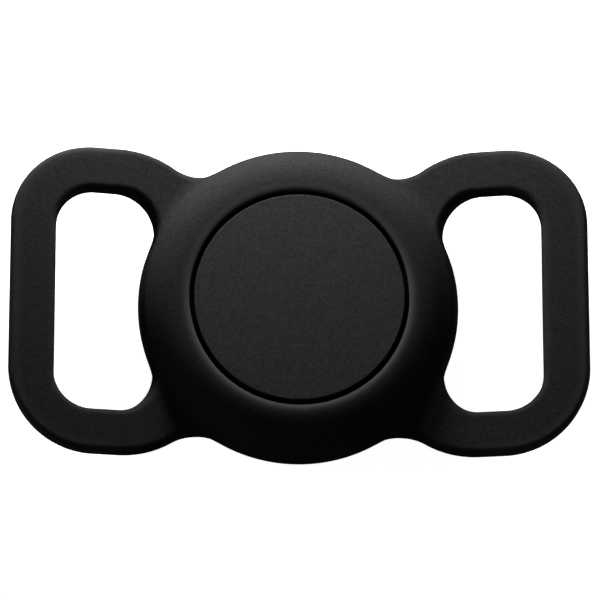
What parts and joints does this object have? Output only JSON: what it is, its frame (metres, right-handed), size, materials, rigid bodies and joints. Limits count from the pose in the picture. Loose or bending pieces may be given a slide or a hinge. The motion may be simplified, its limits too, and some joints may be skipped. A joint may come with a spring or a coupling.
{
  "type": "tracker tag holder",
  "caption": "Soft round pocket that grips a coin-shaped tracker tag, with a flat loop at each end for a strap or collar to pass through.",
  "frame": {"origin": "centre of the flat back face, on the plane that the holder lies on", "axes": "+Z out of the face through the window, +X along the strap towards the right loop, +Y up the face"},
  "size_m": [0.0688, 0.0382, 0.0109],
  "materials": {
    "silicone": "matt moulded silicone",
    "cover_black": "fine matt black coating",
    "shell_plastic": "satin graphite",
    "tray_plastic": "matt dark grey",
    "antenna_metal": "plated strip",
    "board": "solder mask",
    "shield_metal": "tinned sheet",
    "chip_resin": "moulded resin",
    "crystal_can": "plated lid",
    "sounder_brass": "rolled brass",
    "ceramic": "silvered ceramic",
    "contact_metal": "gold-flashed spring sheet",
    "cell_steel": "nickel-plated steel",
    "gasket_plastic": "moulded ring",
    "seal_rubber": "moulded ring",
    "foam": "closed-cell foam"
  },
  "bodies": {
    "holder": {"holder_body": "silicone", "window_lip": "silicone"},
    "left_loop": {"left_strap_loop": "silicone"},
    "right_loop": {"right_strap_loop": "silicone"},
    "tag": {"tag_shell": "shell_plastic", "tag_tray": "tray_plastic", "antenna_strips": "antenna_metal", "circuit_board": "board", "radio_shield": "shield_metal", "board_chips": "chip_resin", "crystal": "crystal_can", "sounder_disc": "sounder_brass", "sounder_ceramic": "ceramic", "sounder_contacts": "contact_metal", "positive_contacts": "contact_metal", "negative_spring": "contact_metal", "cover_seal": "seal_rubber"},
    "cell": {"coin_cell_can": "cell_steel", "coin_cell_gasket": "gasket_plastic", "coin_cell_cap": "cell_steel"},
    "cover": {"battery_cover": "cover_black", "cover_liner": "tray_plastic", "foam_pad": "foam"}
  },
  "joints": [
    {"name": "tag_lift", "type": "slide", "parent": "holder", "child": "tag", "axis": [0, 0, 1], "range_m": [0, 0.012], "deforming": ["window_lip"]},
    {"name": "cover_lift", "type": "slide", "parent": "tag", "child": "cover", "axis": [0, 0, 1], "range_m": [0, 0.01]},
    {"name": "cell_lift", "type": "slide", "parent": "tag", "child": "cell", "axis": [0, 0, 1], "range_m": [0, 0.005]},
    {"name": "left_loop_flex", "type": "hinge", "parent": "holder", "child": "left_loop", "pos_m": [-0.02212, 0, 0.00625], "axis": [0, 1, 0], "range_deg": [-30, 30], "stiffness_Nm_per_rad": 0.016},
    {"name": "right_loop_flex", "type": "hinge", "parent": "holder", "child": "right_loop", "pos_m": [0.02212, 0, 0.00625], "axis": [0, -1, 0], "range_deg": [-30, 30], "stiffness_Nm_per_rad": 0.016}
  ],
  "couplings": [
    {"joint": "cell_lift", "follows": "cover_lift", "ratio": 0.5}
  ]
}
